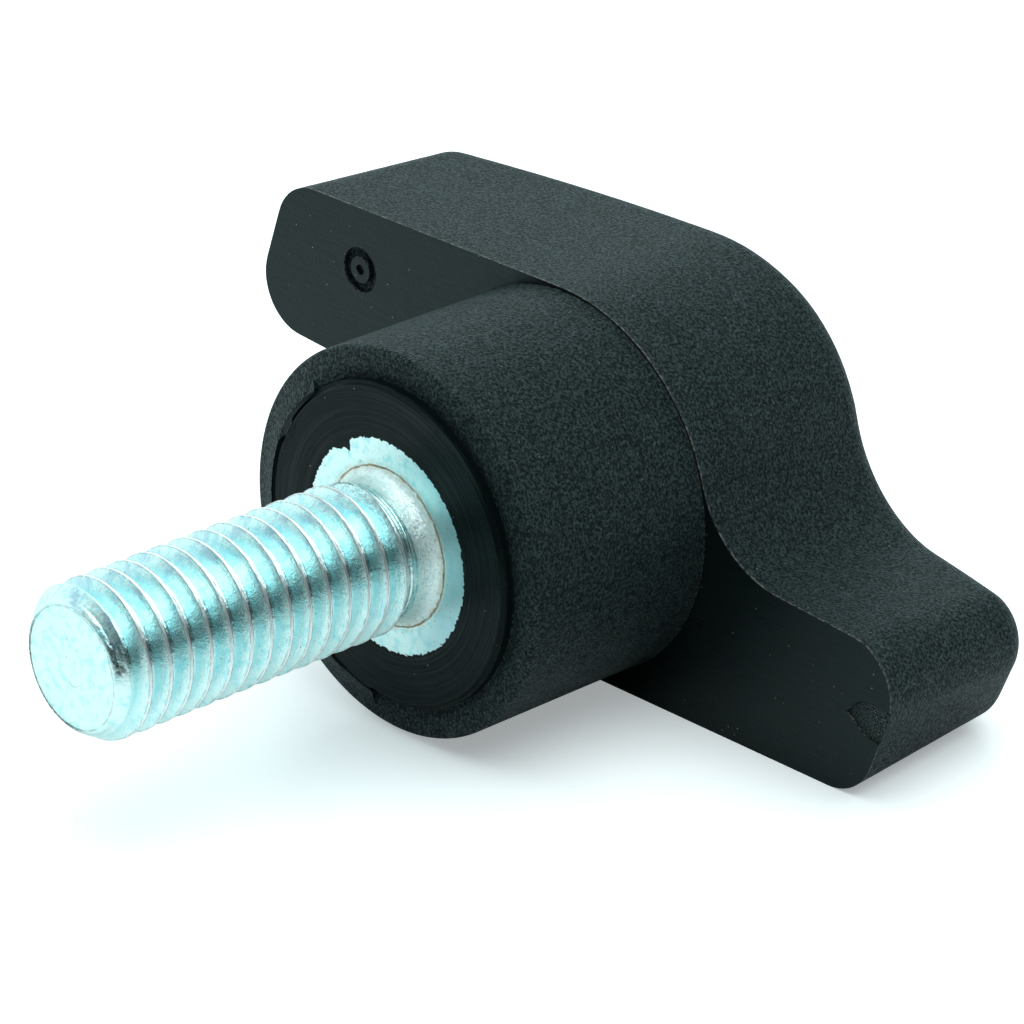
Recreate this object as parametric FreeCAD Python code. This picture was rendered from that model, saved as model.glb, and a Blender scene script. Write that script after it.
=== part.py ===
import FreeCAD, Part
import math
import os

from FreeCAD import Vector

# M8 wing screw: a black glass-filled polyamide wing knob moulded over a
# zinc-plated steel stud.
# Frame: origin on the stud axis in the plane of the seating face,
# +X along the lower (floor-side) wing, +Y from the seating face back into the
# knob, so the stud points to -Y, and +Z up. Units are millimetres.

# ---- stud (one rolled and turned steel piece) ----
THREAD_D = 8.0            # M8 coarse
PITCH = 1.25
STUD_L = 20.0             # from the seating face to the tip
CREST_FLAT = PITCH / 8.0
ROOT_R = 3.235            # M8 root after rolling
TIP_FACE_R = 3.12         # flat end face
TIP_CHAMFER_L = 0.78
NECK_R = 3.60             # plain neck at the rolling blank size (pitch diameter)
NECK_START = 1.35         # distance from the seating face where the crests die out
RUNOUT_L = 0.75
RUNOUT_ROOT = (1.50, 2.75)    # the thread root climbs out to the neck between these distances
FLARE_FOOT_R = 4.15       # concave flare from the neck into the collar face
FLARE_MID = (3.745, 0.42)
FLARE_TOP = 1.10
UNDERCUT_R = 3.25         # radius the thread is first cut from, filled again by the neck
UNDERCUT_FLARE = 0.85
THREAD_PHASE = 0.32       # root position at the +X side, measured from the seating face
HEAD_R = 5.70             # over the knurl crests
KNURL_DEPTH = 0.13
KNURL_TEETH = 60
HEAD_L = 9.0              # length of the head held inside the hub
LOCK_GROOVE_Y = 3.6
LOCK_GROOVE_W = 1.8
LOCK_GROOVE_R = 4.75
HEAD_BACK_CHAMFER = 0.6

# ---- knob (one moulding) ----
HUB_R = 10.20             # round hub in front of the parting plane
BLOCK_R = 10.32           # hub radius in the wing block, a hair larger at the parting line
PART_Y = 12.14            # parting plane, level with the front faces of the wings
FLOOR_Z = -10.40          # straight edge of the wing, tangent to the hub
BACK_Y = 25.42            # crown of the domed back
DOME_R = 105.0            # back face radius along the wings
# walls lean in towards the back by these amounts over the depth of the wing block
DRAFT_HUB = 0.85
DRAFT_STRAIGHT = 0.55
DRAFT_TOP = 1.15
DRAFT_TIP = 0.85
BACK_FILLET = 1.75
WING_TIP_X = 22.85
WING_TOP_Z = -1.45        # upper edge of the +X wing at its root
WING_TOP_DROP = 0.35      # the edge falls by this much towards the tip
ROOT_FILLET = 6.0
TIP_R_UPPER = 2.85
TIP_R_LOWER = 2.9
TIP_LEAN = 1.0            # the tip leans in by this much at the straight edge

RIM_Y = 0.52              # textured rim sits back from the seating face
RIM_EDGE = 0.22
PAD_R = 8.28              # smooth seating pad around the collar
PAD_STEP_R = 8.52         # second step under the pad
PAD_STEP_Y = 0.24
LIP_R_IN = 8.46           # on one side the rim climbs to a moulding lip level with the pad
LIP_R_OUT = 9.75
LIP_Y = 0.02
LIP_FROM = 128.0          # degrees from +X towards +Z
LIP_TO = 262.0
RIM_DISH = 0.12           # the rim dips by this much where it meets the step

MARK_X, MARK_Z = -15.30, 6.93   # plain cavity ring on the -X wing face
MARK_R_OUT, MARK_R_IN, MARK_DEPTH = 1.25, 0.72, 0.28
DOT_R, DOT_DEPTH = 0.30, 0.22
# broken-off gate at the tip of the +X wing: a shallow torn patch, outline in x, z
GATE_OUTLINE = [(20.00, -5.90), (20.55, -5.33), (21.05, -5.05), (21.60, -4.96), (22.20, -5.00), (23.60, -5.12),
                (23.60, -6.90), (21.60, -6.95), (20.95, -6.60)]
GATE_DEPTH = 0.14


def local_to_part(shape):
    """Turn a body drawn along +Z so that its +Z points to -Y."""
    out = shape.copy()
    out.rotate(Vector(0, 0, 0), Vector(1, 0, 0), 90)
    return out


def revolve(points):
    """Full turn about Z of a closed (radius, height) outline."""
    wire = Part.makePolygon([Vector(r, 0, h) for r, h in points + [points[0]]])
    return Part.Face(wire).revolve(Vector(0, 0, 0), Vector(0, 0, 1), 360)


# ------------------------------------------------------------------ stud
def stud_blank():
    r = THREAD_D / 2
    arc = Part.Arc(
        Vector(UNDERCUT_R + UNDERCUT_FLARE, 0, 0.0),
        Vector(UNDERCUT_R + UNDERCUT_FLARE * (1 - math.sin(math.radians(45))), 0, UNDERCUT_FLARE * (1 - math.cos(math.radians(45)))),
        Vector(UNDERCUT_R, 0, UNDERCUT_FLARE),
    ).toShape()
    e = [
        Part.makeLine(Vector(0, 0, -2.0), Vector(UNDERCUT_R + UNDERCUT_FLARE, 0, -2.0)),
        Part.makeLine(Vector(UNDERCUT_R + UNDERCUT_FLARE, 0, -2.0), Vector(UNDERCUT_R + UNDERCUT_FLARE, 0, 0)),
        arc,
        Part.makeLine(Vector(UNDERCUT_R, 0, UNDERCUT_FLARE), Vector(UNDERCUT_R, 0, NECK_START)),
        Part.makeLine(Vector(UNDERCUT_R, 0, NECK_START), Vector(r, 0, NECK_START + RUNOUT_L)),
        Part.makeLine(Vector(r, 0, NECK_START + RUNOUT_L), Vector(r, 0, STUD_L - TIP_CHAMFER_L)),
        Part.makeLine(Vector(r, 0, STUD_L - TIP_CHAMFER_L), Vector(TIP_FACE_R, 0, STUD_L)),
        Part.makeLine(Vector(TIP_FACE_R, 0, STUD_L), Vector(0, 0, STUD_L)),
        Part.makeLine(Vector(0, 0, STUD_L), Vector(0, 0, -2.0)),
    ]
    face = Part.Face(Part.Wire(e))
    return face.revolve(Vector(0, 0, 0), Vector(0, 0, 1), 360)


def thread_groove():
    """One helical groove, 60 degree flanks, running out of both ends."""
    r = THREAD_D / 2
    start = THREAD_PHASE + 0.75 * PITCH          # root height at the start angle
    height = STUD_L + 1.3 - start
    half = (PITCH - CREST_FLAT) / 2
    slope = math.tan(math.radians(30))
    low = r - (half - 0.06) / slope               # where the flanks close to a 0.12 wide flat
    low = max(low, ROOT_R)
    wl = half - (r - low) * slope
    over = 0.04                                   # flanks run on a little past the crest
    wide = half + over * slope
    top = r + 0.22
    pts = [
        (low, -wl * 0.45), (low, wl * 0.45),
        (low + 0.055, wl * 0.95 + 0.02),
        (r + over, wide), (top, wide), (top, -wide), (r + over, -wide),
        (low + 0.055, -wl * 0.95 - 0.02),
    ]
    wire = Part.makePolygon([Vector(x, 0, z + start) for x, z in pts + [pts[0]]])
    helix = Part.makeHelix(PITCH, height, r)
    helix.translate(Vector(0, 0, start))
    sweep = Part.Wire(helix.Edges).makePipeShell([wire], True, True)
    sweep.rotate(Vector(0, 0, 0), Vector(0, 0, 1), -90)
    return sweep


def neck_core():
    """Neck at the blank size with its flare; the thread root climbs out to it."""
    # concave flare, from the neck out to the collar face
    arc = Part.Arc(Vector(FLARE_FOOT_R, 0, 0), Vector(FLARE_MID[0], 0, FLARE_MID[1]), Vector(NECK_R, 0, FLARE_TOP)).toShape()
    low = ROOT_R - 0.06
    e = [
        Part.makeLine(Vector(0, 0, -2.0), Vector(FLARE_FOOT_R, 0, -2.0)),
        Part.makeLine(Vector(FLARE_FOOT_R, 0, -2.0), Vector(FLARE_FOOT_R, 0, 0)),
        arc,
        Part.makeLine(Vector(NECK_R, 0, FLARE_TOP), Vector(NECK_R, 0, RUNOUT_ROOT[0])),
        Part.makeLine(Vector(NECK_R, 0, RUNOUT_ROOT[0]), Vector(low, 0, RUNOUT_ROOT[1])),
        Part.makeLine(Vector(low, 0, RUNOUT_ROOT[1]), Vector(0, 0, RUNOUT_ROOT[1])),
        Part.makeLine(Vector(0, 0, RUNOUT_ROOT[1]), Vector(0, 0, -2.0)),
    ]
    return Part.Face(Part.Wire(e)).revolve(Vector(0, 0, 0), Vector(0, 0, 1), 360)


def knurled_head():
    pts = []
    n = KNURL_TEETH
    for i in range(n):
        a0 = 2 * math.pi * (i - 0.22) / n
        a1 = 2 * math.pi * (i + 0.22) / n
        a2 = 2 * math.pi * (i + 0.5) / n
        pts.append(Vector(HEAD_R * math.cos(a0), HEAD_R * math.sin(a0), -HEAD_L))
        pts.append(Vector(HEAD_R * math.cos(a1), HEAD_R * math.sin(a1), -HEAD_L))
        q = HEAD_R - KNURL_DEPTH
        pts.append(Vector(q * math.cos(a2), q * math.sin(a2), -HEAD_L))
    head = Part.Face(Part.makePolygon(pts + [pts[0]])).extrude(Vector(0, 0, HEAD_L))
    keep = revolve([
        (0, -HEAD_L), (HEAD_R - HEAD_BACK_CHAMFER, -HEAD_L), (HEAD_R + 0.05, -HEAD_L + HEAD_BACK_CHAMFER + 0.05),
        (HEAD_R + 0.05, -LOCK_GROOVE_Y - LOCK_GROOVE_W), (LOCK_GROOVE_R, -LOCK_GROOVE_Y - LOCK_GROOVE_W + 0.25),
        (LOCK_GROOVE_R, -LOCK_GROOVE_Y - 0.25), (HEAD_R + 0.05, -LOCK_GROOVE_Y),
        (HEAD_R + 0.05, 0), (0, 0),
    ])
    return head.common(keep)


blank = stud_blank()
threaded = blank.cut(thread_groove())
print("threaded", threaded.isValid(), round(blank.Volume - threaded.Volume, 1))
threaded = threaded.fuse(neck_core())
head_local = knurled_head()
stud = local_to_part(threaded.fuse(head_local).removeSplitter()).Solids[0]


# ------------------------------------------------------------------ knob
def wing_profile(y, hub_r, straight_z, root_z, drop, root_fillet, tip_x, lean, r_upper, r_lower, lead):
    """Closed outline of the wing block at height y; the second half is the first turned by 180 degrees."""
    def pt(x, z):
        return Vector(x, y, z)

    def arc(cx, cz, r, a0, a1):
        def p(deg):
            q = math.radians(deg)
            return pt(cx + r * math.cos(q), cz + r * math.sin(q))
        return Part.Arc(p(a0), p((a0 + a1) / 2), p(a1)).toShape(), p(a0), p(a1)

    # root fillet, tangent to the hub circle and to the upper edge
    fx = math.sqrt((hub_r + root_fillet) ** 2 - (root_fillet + root_z) ** 2)
    fz = root_z + root_fillet
    hub_a = math.degrees(math.atan2(fz, fx))
    # corner circles of the tip; their outer tangent is the tip face
    lx, lz = tip_x - lean - r_lower, straight_z + r_lower
    ux, uz = tip_x - r_upper, root_z - drop - r_upper
    dx, dz = ux - lx, uz - lz
    tip_a = math.degrees(math.atan2(dz, dx)) - math.degrees(math.acos((r_lower - r_upper) / math.hypot(dx, dz)))
    # inner tangent of the upper corner and the root fillet is the upper edge
    ex, ez = fx - ux, fz - uz
    top_a = math.degrees(math.atan2(ez, ex)) - math.degrees(math.acos((r_upper + root_fillet) / math.hypot(ex, ez)))
    low, l0, l1 = arc(lx, lz, r_lower, -90, tip_a)
    up, u0, u1 = arc(ux, uz, r_upper, tip_a, top_a)
    root, r0, r1 = arc(fx, fz, root_fillet, top_a + 180, 180 + hub_a)
    # hub arc over to the other straight edge, met by a short blend tangent to both
    end_a = math.degrees(math.acos(lead / hub_r))
    hub_arc, h0, h1 = arc(0, 0, hub_r, hub_a, end_a)
    nx, nz = h1.x / hub_r, h1.z / hub_r
    rho = (-straight_z - h1.z) / (1 - nz)
    cx, cz = h1.x - rho * nx, h1.z - rho * nz
    blend, _, _ = arc(cx, cz, rho, math.degrees(math.atan2(nz, nx)), 90)
    first = [Part.makeLine(pt(-cx, straight_z), l0), low, Part.makeLine(l1, u0), up,
             Part.makeLine(u1, r0), root, hub_arc, blend]
    second = []
    for e in first:
        c = e.copy()
        c.rotate(Vector(0, 0, 0), Vector(0, 1, 0), 180)
        second.append(c)
    return Part.Wire(Part.__sortEdges__(first + second))


front = wing_profile(PART_Y, BLOCK_R, FLOOR_Z, WING_TOP_Z, WING_TOP_DROP, ROOT_FILLET,
                     WING_TIP_X, TIP_LEAN, TIP_R_UPPER, TIP_R_LOWER, 4.2)
rear = wing_profile(BACK_Y + 0.6, BLOCK_R - DRAFT_HUB, FLOOR_Z + DRAFT_STRAIGHT, WING_TOP_Z - DRAFT_TOP,
                    WING_TOP_DROP, ROOT_FILLET + 0.8, WING_TIP_X - DRAFT_TIP, TIP_LEAN,
                    TIP_R_UPPER - 0.35, TIP_R_LOWER - 0.3, 4.0)
block = Part.makeLoft([front, rear], True, True)
dome = Part.makeCylinder(DOME_R, 60, Vector(0, BACK_Y - DOME_R, -30), Vector(0, 0, 1))
block = block.common(dome).Solids[0]
rear_edges = []
for ed in block.Edges:
    m = ed.valueAt((ed.FirstParameter + ed.LastParameter) / 2)
    if abs(math.hypot(m.x, m.y - (BACK_Y - DOME_R)) - DOME_R) < 1e-3:
        rear_edges.append(ed)
block = block.makeFillet(BACK_FILLET, rear_edges)


# round hub in front of the parting plane, with the dished rim and the pad
def hub_ring(points):
    return local_to_part(revolve(points))


hub = hub_ring([
    (0, -PART_Y - 3.0), (HUB_R, -PART_Y - 3.0), (HUB_R, -RIM_Y - RIM_EDGE),
    (HUB_R - RIM_EDGE * 0.35, -RIM_Y - RIM_EDGE * 0.35), (HUB_R - RIM_EDGE, -RIM_Y),
    (PAD_STEP_R + 0.40, -RIM_Y - RIM_DISH * 0.2), (PAD_STEP_R + 0.10, -RIM_Y - RIM_DISH),
    (PAD_STEP_R, -RIM_Y - RIM_DISH),
    (PAD_STEP_R, -PAD_STEP_Y), (PAD_R + 0.05, -PAD_STEP_Y + 0.03), (PAD_R, -0.05), (PAD_R - 0.05, 0), (0, 0),
])
lip_face = Part.Face(Part.makePolygon([
    Vector(LIP_R_IN, 0, -RIM_Y - 0.20), Vector(LIP_R_IN, 0, -LIP_Y - 0.05), Vector(LIP_R_IN + 0.05, 0, -LIP_Y),
    Vector(LIP_R_OUT, 0, -RIM_Y - 0.01), Vector(LIP_R_OUT, 0, -RIM_Y - 0.20), Vector(LIP_R_IN, 0, -RIM_Y - 0.20),
]))
lip = lip_face.revolve(Vector(0, 0, 0), Vector(0, 0, 1), LIP_TO - LIP_FROM)
lip.rotate(Vector(0, 0, 0), Vector(0, 0, 1), LIP_FROM)
lip = local_to_part(lip)

knob = block.fuse([hub, lip])

# plain ring mark in place of a cavity character, and the sheared gate at the wing tip
ring = Part.makeCylinder(MARK_R_OUT, MARK_DEPTH, Vector(MARK_X, PART_Y, MARK_Z), Vector(0, 1, 0))
ring = ring.cut(Part.makeCylinder(MARK_R_IN, MARK_DEPTH, Vector(MARK_X, PART_Y, MARK_Z), Vector(0, 1, 0)))
dot = Part.makeCylinder(DOT_R, DOT_DEPTH, Vector(MARK_X, PART_Y, MARK_Z), Vector(0, 1, 0))
gate = Part.Face(Part.makePolygon([Vector(x, PART_Y - 0.1, z) for x, z in GATE_OUTLINE + GATE_OUTLINE[:1]]))
gate = gate.extrude(Vector(0, GATE_DEPTH + 0.1, 0))
knob = knob.cut([ring, dot, gate])

# pocket that the moulding leaves around the knurled head
pocket = local_to_part(head_local)
knob = knob.cut(pocket).removeSplitter()
print("knob solids", len(knob.Solids))
knob = knob.Solids[0]

os.makedirs("parts", exist_ok=True)
for name, shape in (("moulded_wing_knob", knob), ("threaded_stud_with_knurled_head", stud)):
    print(name, shape.ShapeType, shape.isValid(), round(shape.Volume, 1), shape.BoundBox)
    shape.exportStep("parts/%s.step" % name)
print("overlap", round(knob.common(stud).Volume, 4))
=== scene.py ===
import math

import bpy
import numpy as np
from mathutils import Matrix, Vector


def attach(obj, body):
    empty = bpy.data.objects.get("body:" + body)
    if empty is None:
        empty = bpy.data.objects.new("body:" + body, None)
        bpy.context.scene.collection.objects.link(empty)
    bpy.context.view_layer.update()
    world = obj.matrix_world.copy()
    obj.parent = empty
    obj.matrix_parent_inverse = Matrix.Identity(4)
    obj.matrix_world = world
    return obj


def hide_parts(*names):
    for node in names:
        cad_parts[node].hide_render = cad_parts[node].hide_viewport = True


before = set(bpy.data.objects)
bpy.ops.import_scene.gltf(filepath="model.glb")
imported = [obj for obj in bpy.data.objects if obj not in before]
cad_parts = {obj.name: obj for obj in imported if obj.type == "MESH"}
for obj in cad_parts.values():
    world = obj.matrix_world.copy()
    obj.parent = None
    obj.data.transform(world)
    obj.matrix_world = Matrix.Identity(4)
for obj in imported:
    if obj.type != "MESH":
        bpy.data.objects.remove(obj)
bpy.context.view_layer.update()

MM = 0.001
FLOOR_Z = -10.40 * MM


# ------------------------------------------------------------------ node helpers
class Nodes:
    """Small helper that builds a shader tree from python calls."""

    def __init__(self, name, world=False):
        if world:
            self.owner = bpy.data.worlds.new(name)
        else:
            self.owner = bpy.data.materials.new(name)
        self.owner.use_nodes = True
        self.t = self.owner.node_tree
        self.t.nodes.clear()

    def add(self, kind, **props):
        n = self.t.nodes.new(kind)
        for k, v in props.items():
            setattr(n, k, v)
        return n

    def put(self, socket, value):
        if value is None:
            return
        if isinstance(value, bpy.types.NodeSocket):
            self.t.links.new(value, socket)
        else:
            socket.default_value = value

    def math(self, op, a, b=None, c=None, clamp=False):
        n = self.add("ShaderNodeMath", operation=op, use_clamp=clamp)
        self.put(n.inputs[0], a)
        if b is not None:
            self.put(n.inputs[1], b)
        if c is not None:
            self.put(n.inputs[2], c)
        return n.outputs[0]

    def vmath(self, op, a, b=None):
        n = self.add("ShaderNodeVectorMath", operation=op)
        self.put(n.inputs[0], a)
        if b is not None:
            if op == "SCALE":
                self.put(n.inputs["Scale"], b)
            else:
                self.put(n.inputs[1], b)
        return n.outputs["Value"] if op in ("LENGTH", "DOT_PRODUCT", "DISTANCE") else n.outputs["Vector"]

    def step(self, x, lo, hi):
        """Smooth 0..1 as x goes lo..hi (works with lo > hi too)."""
        n = self.add("ShaderNodeMapRange", interpolation_type="SMOOTHSTEP")
        self.put(n.inputs["Value"], x)
        if lo <= hi:
            n.inputs["From Min"].default_value = lo
            n.inputs["From Max"].default_value = hi
            n.inputs["To Min"].default_value = 0.0
            n.inputs["To Max"].default_value = 1.0
        else:
            n.inputs["From Min"].default_value = hi
            n.inputs["From Max"].default_value = lo
            n.inputs["To Min"].default_value = 1.0
            n.inputs["To Max"].default_value = 0.0
        return n.outputs["Result"]

    def noise(self, vec, scale, detail=2.0, rough=0.5, distortion=0.0):
        n = self.add("ShaderNodeTexNoise")
        self.put(n.inputs["Vector"], vec)
        n.inputs["Scale"].default_value = scale
        n.inputs["Detail"].default_value = detail
        n.inputs["Roughness"].default_value = rough
        n.inputs["Distortion"].default_value = distortion
        return n.outputs["Fac"]

    def voronoi(self, vec, scale, feature="F1", rand=1.0):
        n = self.add("ShaderNodeTexVoronoi", feature=feature)
        self.put(n.inputs["Vector"], vec)
        n.inputs["Scale"].default_value = scale
        n.inputs["Randomness"].default_value = rand
        return n.outputs["Distance"], n.outputs.get("Color")

    def mix(self, f, a, b):
        n = self.add("ShaderNodeMix", data_type="RGBA")
        self.put(n.inputs[0], f)
        self.put(n.inputs[6], a)
        self.put(n.inputs[7], b)
        return n.outputs[2]

    def fmix(self, f, a, b):
        n = self.add("ShaderNodeMix", data_type="FLOAT")
        self.put(n.inputs[0], f)
        self.put(n.inputs[2], a)
        self.put(n.inputs[3], b)
        return n.outputs[0]

    def scale_color(self, col, k):
        return self.vmath("SCALE", col, k)

    def bump(self, height, strength, distance, normal=None):
        n = self.add("ShaderNodeBump")
        self.put(n.inputs["Height"], height)
        self.put(n.inputs["Strength"], strength)
        self.put(n.inputs["Distance"], distance)
        if normal is not None:
            self.put(n.inputs["Normal"], normal)
        return n.outputs["Normal"]


def rgb(r, g, b):
    return (r, g, b, 1.0)


def part_coords(k):
    """Position in millimetres, its x, y, z, the radius from the stud axis and the angle."""
    tc = k.add("ShaderNodeTexCoord")
    p = k.vmath("SCALE", tc.outputs["Object"], 1000.0)
    s = k.add("ShaderNodeSeparateXYZ")
    k.put(s.inputs[0], p)
    x, y, z = s.outputs
    r = k.math("SQRT", k.math("ADD", k.math("MULTIPLY", x, x), k.math("MULTIPLY", z, z)))
    th = k.math("ARCTAN2", z, x)
    geo = k.add("ShaderNodeNewGeometry")
    n = k.add("ShaderNodeSeparateXYZ")
    k.put(n.inputs[0], geo.outputs["Normal"])
    return p, x, y, z, r, th, n.outputs, geo


# ------------------------------------------------------------------ plastic
def make_plastic():
    k = Nodes("black_polyamide")
    p, x, y, z, r, th, n, geo = part_coords(k)
    # where the mould steel was plain: wing faces in the parting plane and the pad
    face = k.math("MULTIPLY", k.step(n[1], -0.90, -0.98), k.step(k.math("ABSOLUTE", k.math("SUBTRACT", y, 12.14)), 0.06, 0.02))
    pad = k.math("MULTIPLY", k.step(r, 8.57, 8.54), k.step(y, 0.62, 0.56))
    plain = k.math("MAXIMUM", face, pad)
    tex = k.math("SUBTRACT", 1.0, plain)

    # spark-eroded grain
    g1 = k.noise(p, 6.4, 3.0, 0.66)
    g2 = k.noise(p, 14.0, 2.0, 0.6)
    g3 = k.voronoi(p, 6.5)[0]
    grain = k.math("ADD", k.math("MULTIPLY", g1, 0.62), k.math("ADD", k.math("MULTIPLY", g2, 0.30), k.math("MULTIPLY", g3, 0.16)))
    broad = k.noise(p, 0.22, 3.0, 0.55)
    mid = k.noise(p, 1.1, 3.0, 0.6)

    # turning marks of the pad insert
    ringv = k.add("ShaderNodeCombineXYZ")
    k.put(ringv.inputs[0], k.math("MULTIPLY", r, 9.0))
    k.put(ringv.inputs[1], k.math("MULTIPLY", th, 0.55))
    rings = k.noise(ringv.outputs[0], 1.0, 3.0, 0.7)
    # faint flow and polish marks on the wing faces
    flowv = k.add("ShaderNodeCombineXYZ")
    k.put(flowv.inputs[0], k.math("MULTIPLY", x, 0.5))
    k.put(flowv.inputs[1], k.math("MULTIPLY", z, 3.2))
    flow = k.noise(flowv.outputs[0], 1.0, 4.0, 0.6, 0.6)

    # colour
    base = k.mix(broad, rgb(0.0036, 0.0068, 0.0072), rgb(0.0050, 0.0094, 0.0100))
    base = k.mix(k.math("MULTIPLY", plain, 0.55), base, rgb(0.0022, 0.0034, 0.0036))
    lum = k.math("ADD", 0.10, k.math("MULTIPLY", grain, 1.70))
    base = k.scale_color(base, k.fmix(tex, 1.0, lum))
    # painted glints: pale specks standing in for glass fibre ends catching the light, a few per square centimetre
    d, _ = k.voronoi(p, 1.25)
    painted_glint = k.math("MULTIPLY", k.step(d, 0.055, 0.03), tex)
    base = k.mix(k.math("MULTIPLY", painted_glint, 0.65), base, rgb(0.32, 0.33, 0.33))
    # painted glints: a sparser second set of fainter pale specks
    d2, _ = k.voronoi(k.vmath("ADD", p, (7.3, 2.1, 9.9)), 2.6)
    painted_glint2 = k.math("MULTIPLY", k.step(d2, 0.07, 0.04), k.step(k.noise(p, 0.5, 1.0), 0.50, 0.62))
    base = k.mix(k.math("MULTIPLY", painted_glint2, 0.25), base, rgb(0.16, 0.165, 0.17))
    # broken-off gate, its slit, and a scratch running into it on the +X wing face
    near_face = k.step(k.math("ABSOLUTE", k.math("SUBTRACT", y, 12.16)), 0.24, 0.18)
    gx, gz = k.math("SUBTRACT", x, 21.70), k.math("SUBTRACT", z, -6.70)
    gr = k.math("SQRT", k.math("ADD", k.math("MULTIPLY", gx, gx), k.math("MULTIPLY", gz, gz)))
    torn = k.math("MULTIPLY", k.math("MULTIPLY", k.step(gr, 1.78, 1.70), near_face), k.math("MULTIPLY", k.step(y, 12.20, 12.24), k.step(n[1], -0.3, -0.7)))
    slit = k.math("MULTIPLY", k.math("MULTIPLY", k.step(k.math("ABSOLUTE", k.math("SUBTRACT", gr, 1.77)), 0.085, 0.045), near_face), k.math("MULTIPLY", k.step(x, 20.42, 20.75), k.math("MULTIPLY", k.step(x, 22.25, 21.95), k.step(z, -5.6, -5.35))))
    su = k.math("SUBTRACT", k.math("MULTIPLY", k.math("SUBTRACT", x, 17.28), 0.963), k.math("MULTIPLY", k.math("ADD", z, 5.11), 0.269))
    sv = k.math("ADD", k.math("MULTIPLY", k.math("SUBTRACT", x, 17.28), 0.269), k.math("MULTIPLY", k.math("ADD", z, 5.11), 0.963))
    sv = k.math("ADD", sv, k.math("MULTIPLY", k.math("SUBTRACT", broad, 0.5), 0.12))
    scratch = k.math("MULTIPLY", k.math("MULTIPLY", k.step(k.math("ABSOLUTE", sv), 0.045, 0.018), face), k.math("MULTIPLY", k.step(su, -0.05, 0.3), k.step(su, 3.0, 2.6)))
    cut = k.math("MAXIMUM", slit, scratch)
    base = k.mix(k.math("MULTIPLY", torn, k.step(g2, 0.40, 0.62)), base, rgb(0.035, 0.036, 0.034))
    base = k.mix(k.math("MULTIPLY", torn, k.math("MULTIPLY", k.step(g2, 0.62, 0.72), k.step(x, 21.2, 21.9))), base, rgb(0.42, 0.40, 0.36))
    # painted shade: slit and scratch coloured near black, as the shade inside them
    base = k.mix(k.math("MULTIPLY", cut, 0.9), base, rgb(0.0006, 0.0008, 0.0008))
    # light torn fringe and brown haze along the sheared parting edges; the light fringe is also a painted highlight,
    # standing in for a flash ridge catching the light
    fringe_highlight = k.math("MULTIPLY", k.math("MULTIPLY", k.step(k.math("ABSOLUTE", k.math("SUBTRACT", y, 12.17)), 0.120, 0.050), k.step(n[1], -0.96, -0.7)), k.step(k.noise(p, 4.2, 3.0, 0.7), 0.47, 0.58))
    base = k.mix(k.math("MULTIPLY", fringe_highlight, 0.80), base, rgb(0.20, 0.19, 0.175))
    # stray fibre ends and dust, sparse pale specks
    ds, _ = k.voronoi(p, 1.9)
    dust = k.math("MULTIPLY", k.step(ds, 0.085, 0.045), k.step(k.noise(p, 1.1, 2.0, 0.6), 0.54, 0.60))
    base = k.mix(k.math("MULTIPLY", dust, 0.80), base, rgb(0.30, 0.30, 0.29))
    near_part = k.math("MULTIPLY", k.step(k.math("ABSOLUTE", k.math("SUBTRACT", y, 12.14)), 0.30, 0.02), k.step(n[1], -0.90, -0.5))
    edge = k.math("MULTIPLY", near_part, k.step(k.noise(p, 2.4, 2.0), 0.42, 0.62))
    base = k.mix(k.math("MULTIPLY", edge, 0.28), base, rgb(0.075, 0.052, 0.044))

    rough = k.math("ADD", 0.50, k.math("MULTIPLY", k.math("SUBTRACT", grain, 0.5), 0.35))
    rough = k.math("ADD", rough, k.math("MULTIPLY", k.math("SUBTRACT", mid, 0.5), 0.10))
    rough_plain = k.math("ADD", 0.30, k.math("MULTIPLY", k.math("SUBTRACT", flow, 0.5), 0.16))
    rough = k.fmix(plain, rough, rough_plain)

    h_tex = k.math("MULTIPLY", grain, tex)
    h_pad = k.math("MULTIPLY", rings, k.math("MULTIPLY", pad, 0.075))
    h_face = k.math("MULTIPLY", k.math("ADD", flow, k.math("MULTIPLY", g1, 0.6)), k.math("MULTIPLY", face, 0.06))
    h = k.math("ADD", h_tex, k.math("ADD", h_pad, h_face))
    h = k.math("SUBTRACT", h, k.math("MULTIPLY", cut, 0.5))
    nrm = k.bump(h, 1.0, 0.000340)
    nrm = k.bump(broad, 0.25, 0.00018, nrm)

    spec = k.fmix(k.step(grain, 0.46, 0.74), 0.07, 0.98)
    spec = k.fmix(face, spec, 0.19)
    spec = k.fmix(pad, spec, k.math("ADD", 0.07, k.math("MULTIPLY", k.step(rings, 0.45, 0.70), 0.07)))
    spec = k.fmix(torn, spec, k.fmix(k.step(g2, 0.45, 0.62), 0.12, 0.95))
    b = k.add("ShaderNodeBsdfPrincipled")
    k.put(b.inputs["Base Color"], base)
    k.put(b.inputs["Roughness"], rough)
    b.inputs["IOR"].default_value = 1.53
    k.put(b.inputs["Specular IOR Level"], spec)
    b.inputs["Specular Tint"].default_value = rgb(0.70, 1.0, 1.0)
    k.put(b.inputs["Normal"], nrm)
    out = k.add("ShaderNodeOutputMaterial")
    k.put(out.inputs[0], b.outputs[0])
    return k.owner


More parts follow.
